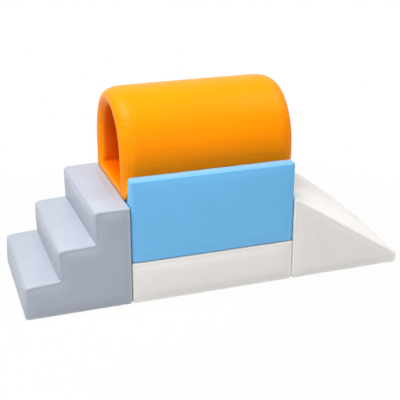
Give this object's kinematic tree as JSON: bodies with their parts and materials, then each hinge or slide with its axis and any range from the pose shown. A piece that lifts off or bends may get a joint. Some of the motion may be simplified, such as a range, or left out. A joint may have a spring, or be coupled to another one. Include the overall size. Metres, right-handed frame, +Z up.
{
  "type": "soft play foam climber",
  "caption": "Modular soft play climber: foam steps, a two-tone middle block with a low side wall, an arched crawl tunnel and a ramp.",
  "frame": {"origin": "on the floor, under the middle of the whole set", "axes": "+X along the set from the steps to the ramp, +Y away from the side with the low wall, +Z up"},
  "size_m": [1.7776, 0.6087, 0.8753],
  "materials": {
    "grey_vinyl": "satin grained vinyl, cool light grey",
    "white_vinyl": "satin grained vinyl, warm off-white",
    "blue_vinyl": "satin grained vinyl, sky blue",
    "orange_vinyl": "satin grained vinyl, warm orange",
    "foam": "closed-cell foam",
    "underside_fabric": "matte woven fabric with small raised rubber dots",
    "zip": "moulded nylon coil and tape",
    "hook_tape": "nylon hook tape",
    "loop_tape": "brushed nylon loop tape"
  },
  "bodies": {
    "base": {"base_core": "foam", "base_cover": "white_vinyl", "base_underside_panel": "underside_fabric", "base_zip_chain": "zip", "base_loop_strip_left": "loop_tape", "base_loop_strip_right": "loop_tape", "base_hook_strip_top_near": "hook_tape", "base_hook_strip_top_far": "hook_tape"},
    "base_slider": {"base_zip_slider": "zip"},
    "seat": {"seat_core": "foam", "seat_cover": "blue_vinyl", "seat_underside_panel": "underside_fabric", "seat_zip_chain": "zip", "seat_loop_strip_left_near": "loop_tape", "seat_loop_strip_left_far": "loop_tape", "seat_loop_strip_right_near": "loop_tape", "seat_loop_strip_right_far": "loop_tape", "seat_loop_strip_under_near": "loop_tape", "seat_loop_strip_under_far": "loop_tape", "seat_hook_strip_top_near": "hook_tape", "seat_hook_strip_top_far": "hook_tape"},
    "seat_slider": {"seat_zip_slider": "zip"},
    "tunnel": {"tunnel_core": "foam", "tunnel_cover": "orange_vinyl", "tunnel_underside_panel": "underside_fabric", "tunnel_zip_chain": "zip", "tunnel_loop_strip_under_near": "loop_tape", "tunnel_loop_strip_under_far": "loop_tape"},
    "tunnel_slider": {"tunnel_zip_slider": "zip"},
    "steps": {"steps_core": "foam", "steps_cover": "grey_vinyl", "steps_underside_panel": "underside_fabric", "steps_zip_chain": "zip", "steps_hook_strip_near": "hook_tape", "steps_hook_strip_far": "hook_tape", "steps_hook_strip_low": "hook_tape"},
    "steps_slider": {"steps_zip_slider": "zip"},
    "ramp": {"ramp_core": "foam", "ramp_cover": "white_vinyl", "ramp_underside_panel": "underside_fabric", "ramp_zip_chain": "zip", "ramp_hook_strip_near": "hook_tape", "ramp_hook_strip_far": "hook_tape", "ramp_hook_strip_low": "hook_tape"},
    "ramp_slider": {"ramp_zip_slider": "zip"}
  },
  "joints": [
    {"name": "steps_pull_away", "type": "slide", "parent": "base", "child": "steps", "axis": [-1, 0, 0], "range_m": [0, 0.4]},
    {"name": "ramp_pull_away", "type": "slide", "parent": "base", "child": "ramp", "axis": [1, 0, 0], "range_m": [0, 0.4]},
    {"name": "seat_lift", "type": "slide", "parent": "base", "child": "seat", "axis": [0, 0, 1], "range_m": [0, 0.3]},
    {"name": "tunnel_lift", "type": "slide", "parent": "seat", "child": "tunnel", "axis": [0, 0, 1], "range_m": [0, 0.3]},
    {"name": "base_zip", "type": "slide", "parent": "base", "child": "base_slider", "axis": [1, 0, 0], "range_m": [0, 0.32]},
    {"name": "seat_zip", "type": "slide", "parent": "seat", "child": "seat_slider", "axis": [1, 0, 0], "range_m": [0, 0.32]},
    {"name": "tunnel_zip", "type": "slide", "parent": "tunnel", "child": "tunnel_slider", "axis": [1, 0, 0], "range_m": [0, 0.32]},
    {"name": "steps_zip", "type": "slide", "parent": "steps", "child": "steps_slider", "axis": [1, 0, 0], "range_m": [0, 0.32]},
    {"name": "ramp_zip", "type": "slide", "parent": "ramp", "child": "ramp_slider", "axis": [1, 0, 0], "range_m": [0, 0.32]}
  ]
}
